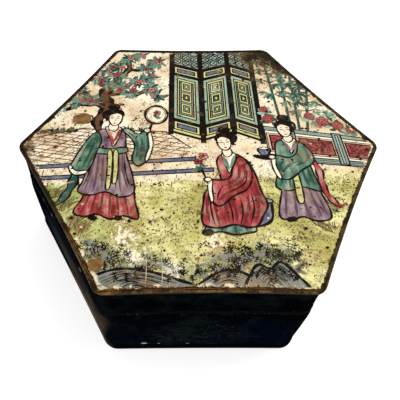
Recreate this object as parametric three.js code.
// Hexagonal enamel box with a lift-off lid, in millimetres, +Z up.
// The origin is at the middle of the face that the foot band rests on.
// Corners point along X, and a flat side faces the front (-Y).

import * as THREE from 'three';

// Overall sizes
const acrossCorners = 100;      // lid rim, over the corners before they are rounded
const boxHeight = 36.8;         // foot to the top of the lid rim
const lidDepth = 12.1;          // top of the lid rim to the seam
const seamGap = 0.1;            // air left in the seam between the two mouth rims
const sideBow = 0.5;            // how far each side is drawn in at its middle
const footBow = 0.1;            // the same on the outside of the base at its foot

// Rounded corners, as the radius on the outermost face
const rimCorner = 3.2;
const wallCorner = 4.4;

// Lid
const rimWidth = 0.9;           // bare brass that shows on top
const rimHeight = 1.1;
const rimEase = 0.18;           // worn edge of the brass
const skirtInset = 0.45;        // skirt enamel behind the edge of the rim, at its mouth
const skirtLean = 0.1;          // how much further in the skirt is just under its bead
const beadHeight = 0.9;         // bead of enamel under the rim
const beadInset = 0.25;
const topEnamel = 0.45;         // painted panel
const topEnamelDrop = 0.3;      // panel below the top of the rim
const lidPlate = 0.8;
const lidSheet = 0.6;
const lidSideEnamel = 0.5;      // its copper stays inside the edge of the panel
const lidInnerEnamel = 0.25;

// Bare copper at both mouths
const mouthRimHeight = 0.45;
const mouthRimProud = 0.08;     // copper proud of the enamel beside it

// Base
const shoulderInset = 0.35;     // base enamel behind the edge of the lid rim, at the seam
const bellyInset = 0.05;
const waistInset = 0.2;
const heelInset = 0.5;
const toeInset = 0.9;
const bellyDrop = 3.6;          // belly below the seam
const waistDrop = 11;
const heelRise = 2.6;           // heel above the foot band
const baseSideEnamel = 0.5;
const baseSheet = 0.9;
const baseFloor = 0.9;
const baseInnerEnamel = 0.4;
const bottomEnamel = 0.4;

// Collar that the lid slips over
const collarClearance = 0.25;   // between the collar and the inside of the lid
const collarSheet = 0.7;
const collarReach = 5;          // collar below the seam
const collarRise = 6;           // collar above the seam
const collarLead = 0.3;         // chamfer that leads the lid on

// Foot band
const footHeight = 1.5;
const footInset = 0.3;
const footWidth = 2;
const footEase = 0.3;

// Fineness of the outline
const cornerSteps = 4;
const sideSteps = 4;

const sideCount = 6;
const cornerHalfAngle = Math.PI / sideCount;
const least = 0.1;              // smallest corner radius

// Half the width over the flats, and the heights that several pieces share
const rimApothem = acrossCorners / 2 * Math.cos(cornerHalfAngle);
const seamZ = boxHeight - lidDepth;
const lidMouthZ = seamZ + seamGap;
const rimUnderZ = boxHeight - rimHeight;
const panelTopZ = boxHeight - topEnamelDrop;
const plateTopZ = panelTopZ - topEnamel;
const plateUnderZ = plateTopZ - lidPlate;
const skirtEndZ = lidMouthZ + mouthRimHeight;
const wallEndZ = seamZ - mouthRimHeight;
const floorTopZ = footHeight + baseFloor;
const collarFootZ = seamZ - collarReach;

const skirtFace = rimApothem - skirtInset;
const lidCopperFace = skirtFace - skirtLean - lidSideEnamel;
const lidCopperInside = lidCopperFace - lidSheet;
const lidInside = lidCopperInside - lidInnerEnamel;
const collarFace = lidInside - collarClearance;
const collarInside = collarFace - collarSheet;
const shoulderFace = rimApothem - shoulderInset;
const footFace = rimApothem - footInset;
const footInside = footFace - footWidth;

// One turn of the rounded hexagon: the corners are arcs, the sides bow inwards.
function hexRing(apothem, corner, bow) {
  const points = [];
  const arcCentre = (apothem - corner) / Math.cos(cornerHalfAngle);
  const halfSide = arcCentre * Math.sin(cornerHalfAngle);
  for (let k = 0; k < sideCount; k += 1) {
    const bearing = k * 2 * cornerHalfAngle;
    for (let i = 0; i <= cornerSteps; i += 1) {
      const turn = bearing + cornerHalfAngle * (2 * i / cornerSteps - 1);
      points.push([
        arcCentre * Math.cos(bearing) + corner * Math.cos(turn),
        arcCentre * Math.sin(bearing) + corner * Math.sin(turn),
      ]);
    }
    const facing = bearing + cornerHalfAngle;
    for (let i = 1; i < sideSteps; i += 1) {
      const along = 2 * i / sideSteps - 1;
      const out = apothem - bow * (1 - along * along);
      points.push([
        out * Math.cos(facing) - along * halfSide * Math.sin(facing),
        out * Math.sin(facing) + along * halfSide * Math.cos(facing),
      ]);
    }
  }
  return points;
}

// The radius that a corner has on a face further in, so that layers stay parallel
const rimCornerAt = (apothem) => Math.max(least, rimCorner - (rimApothem - apothem));
const wallCornerAt = (apothem) => Math.max(least, wallCorner - (shoulderFace - apothem));

// Sweeps a section of [apothem, z] points round the hexagon. A section either
// closes on itself or starts and ends on the axis, as a turned one does. A third
// number gives a point another corner radius, and a fourth another bow. Faces
// that two pieces share are split along the same diagonals.
function sweepRound(section, cornerAt) {
  const positions = [];
  const faces = [];
  const rings = section.map(([apothem, z, corner = cornerAt(apothem), bow = sideBow]) => {
    const first = positions.length / 3;
    if (apothem === 0) {
      positions.push(0, 0, z);
      return { first, count: 1, apothem, z };
    }
    const points = hexRing(apothem, corner, bow);
    points.forEach(([x, y]) => positions.push(x, y, z));
    return { first, count: points.length, apothem, z };
  });
  const closed = section[0][0] !== 0;
  const bands = closed ? rings.length : rings.length - 1;
  for (let i = 0; i < bands; i += 1) {
    const a = rings[i];
    const b = rings[(i + 1) % rings.length];
    const count = Math.max(a.count, b.count);
    const rising = a.z < b.z || (a.z === b.z && a.apothem < b.apothem);
    for (let j = 0; j < count; j += 1) {
      const next = (j + 1) % count;
      if (a.count === 1) {
        faces.push([a.first, b.first + next, b.first + j]);
      } else if (b.count === 1) {
        faces.push([a.first + j, a.first + next, b.first]);
      } else if (rising) {
        faces.push([a.first + j, a.first + next, b.first + next]);
        faces.push([a.first + j, b.first + next, b.first + j]);
      } else {
        faces.push([a.first + j, a.first + next, b.first + j]);
        faces.push([a.first + next, b.first + next, b.first + j]);
      }
    }
  }
  let sixVolumes = 0;
  const at = (n) => new THREE.Vector3(positions[3 * n], positions[3 * n + 1], positions[3 * n + 2]);
  faces.forEach(([a, b, c]) => {
    sixVolumes += at(a).dot(at(b).cross(at(c)));
  });
  if (sixVolumes < 0) faces.forEach((face) => face.reverse());
  const geometry = new THREE.BufferGeometry();
  geometry.setAttribute('position', new THREE.Float32BufferAttribute(positions, 3));
  geometry.setIndex(faces.flat());
  geometry.computeVertexNormals();
  return geometry;
}

const rimShape = (section) => sweepRound(section, rimCornerAt);
const wallShape = (section) => sweepRound(section, wallCornerAt);

// The base wall swells to a belly below the seam and draws in to the foot.
// Depth 0 is the face of the enamel, and more depth is a layer further in.
function baseWall(depth) {
  return [
    [rimApothem - toeInset - depth, footHeight],
    [rimApothem - heelInset - depth, footHeight + heelRise],
    [rimApothem - waistInset - depth, seamZ - waistDrop],
    [rimApothem - bellyInset - depth, seamZ - bellyDrop],
    [shoulderFace - depth, wallEndZ],
  ];
}

// The outside of the base straightens out towards the foot.
function outside([apothem, z]) {
  const bow = footBow + (sideBow - footBow) * z / wallEndZ;
  return [apothem, z, wallCornerAt(apothem), bow];
}

// The inside of the base wall runs from the floor up to where the collar starts.
function baseInside(depth) {
  const floorFace = rimApothem - toeInset - baseSideEnamel - baseSheet;
  return [
    [floorFace - depth, floorTopZ],
    [collarFace - depth, collarFootZ],
  ];
}

const materials = {
  paintedPanel: { color: 0xcbc78f, roughness: 0.35, metalness: 0 },
  brass: { color: 0x6f5a33, roughness: 0.42, metalness: 1 },
  copper: { color: 0x8a6a48, roughness: 0.45, metalness: 1 },
  nightBlue: { color: 0x0b1626, roughness: 0.22, metalness: 0 },
  paleTurquoise: { color: 0x86b8b4, roughness: 0.3, metalness: 0 },
  milkWhite: { color: 0xd9dccf, roughness: 0.3, metalness: 0 },
};

const box = new THREE.Group();

function addPiece(name, geometry, finish) {
  const piece = new THREE.Mesh(geometry, new THREE.MeshStandardMaterial(materials[finish]));
  piece.name = name;
  box.add(piece);
}

// Lid pan: a flat plate with the skirt turned down round it
addPiece('lid_copper', wallShape([
  [0, plateTopZ],
  [lidCopperFace, plateTopZ],
  [lidCopperFace, skirtEndZ],
  [lidCopperInside, skirtEndZ],
  [lidCopperInside, plateUnderZ],
  [0, plateUnderZ],
]), 'copper');

// Painted panel, fused on the plate and let into the rim
addPiece('lid_top_enamel', rimShape([
  [0, plateTopZ],
  [rimApothem - rimWidth, plateTopZ],
  [rimApothem - rimWidth, panelTopZ],
  [0, panelTopZ],
]), 'paintedPanel');

// Brass rim: it frames the panel, and its lower flange grips the plate
addPiece('lid_rim_band', rimShape([
  [rimApothem - rimWidth, boxHeight],
  [rimApothem - rimEase, boxHeight],
  [rimApothem, boxHeight - rimEase],
  [rimApothem, rimUnderZ + rimEase],
  [rimApothem - rimEase, rimUnderZ],
  [lidCopperFace, rimUnderZ, wallCornerAt(lidCopperFace)],
  [lidCopperFace, plateTopZ, wallCornerAt(lidCopperFace)],
  [rimApothem - rimWidth, plateTopZ],
]), 'brass');

// Skirt enamel, with a bead under the rim
addPiece('lid_side_enamel', wallShape([
  [lidCopperFace, rimUnderZ],
  [skirtFace - skirtLean - beadInset, rimUnderZ],
  [skirtFace - skirtLean, rimUnderZ - beadHeight],
  [skirtFace, skirtEndZ],
  [lidCopperFace, skirtEndZ],
]), 'nightBlue');

// Bare copper rim round the mouth of the lid
addPiece('lid_mouth_rim', wallShape([
  [lidInside, skirtEndZ],
  [skirtFace + mouthRimProud, skirtEndZ],
  [skirtFace + mouthRimProud, lidMouthZ],
  [lidInside, lidMouthZ],
]), 'copper');

// Enamel inside the lid
addPiece('lid_inner_enamel', wallShape([
  [0, plateUnderZ],
  [lidCopperInside, plateUnderZ],
  [lidCopperInside, skirtEndZ],
  [lidInside, skirtEndZ],
  [lidInside, plateUnderZ - lidInnerEnamel],
  [0, plateUnderZ - lidInnerEnamel],
]), 'paleTurquoise');

// Base pan: the wall is thickest at the mouth, where the collar is soldered in
addPiece('base_copper', wallShape([
  [0, footHeight],
  ...baseWall(baseSideEnamel),
  [collarFace, wallEndZ],
  ...baseInside(0).reverse(),
  [0, floorTopZ],
]), 'copper');

// Enamel on the outside of the base
addPiece('base_side_enamel', wallShape([
  ...baseWall(0).map(outside),
  ...baseWall(baseSideEnamel).reverse(),
]), 'nightBlue');

// Bare copper rim round the mouth of the base, which shows as the line at the seam
addPiece('base_mouth_rim', wallShape([
  [collarFace, seamZ],
  [shoulderFace + mouthRimProud, seamZ],
  [shoulderFace + mouthRimProud, wallEndZ],
  [collarFace, wallEndZ],
]), 'copper');

// Collar inside the mouth of the base, which the lid slips over
addPiece('base_collar', wallShape([
  [collarInside, collarFootZ],
  [collarFace, collarFootZ],
  [collarFace, seamZ + collarRise - collarLead],
  [collarFace - collarLead, seamZ + collarRise],
  [collarInside, seamZ + collarRise],
]), 'brass');

// Enamel inside the base, up to the foot of the collar
addPiece('base_inner_enamel', wallShape([
  [0, floorTopZ],
  ...baseInside(0),
  [collarFace - baseInnerEnamel, collarFootZ],
  [baseInside(baseInnerEnamel)[0][0], floorTopZ + baseInnerEnamel],
  [0, floorTopZ + baseInnerEnamel],
]), 'paleTurquoise');

// Enamel under the floor, framed by the foot band
addPiece('base_bottom_enamel', wallShape([
  [0, footHeight - bottomEnamel],
  [footInside, footHeight - bottomEnamel],
  [footInside, footHeight],
  [0, footHeight],
]), 'milkWhite');

// Foot band that the box stands on
addPiece('foot_band', wallShape([
  [footInside, 0],
  outside([footFace - footEase, 0]),
  outside([footFace, footEase]),
  outside([footFace, footHeight]),
  [footInside, footHeight],
]), 'copper');

export default box;
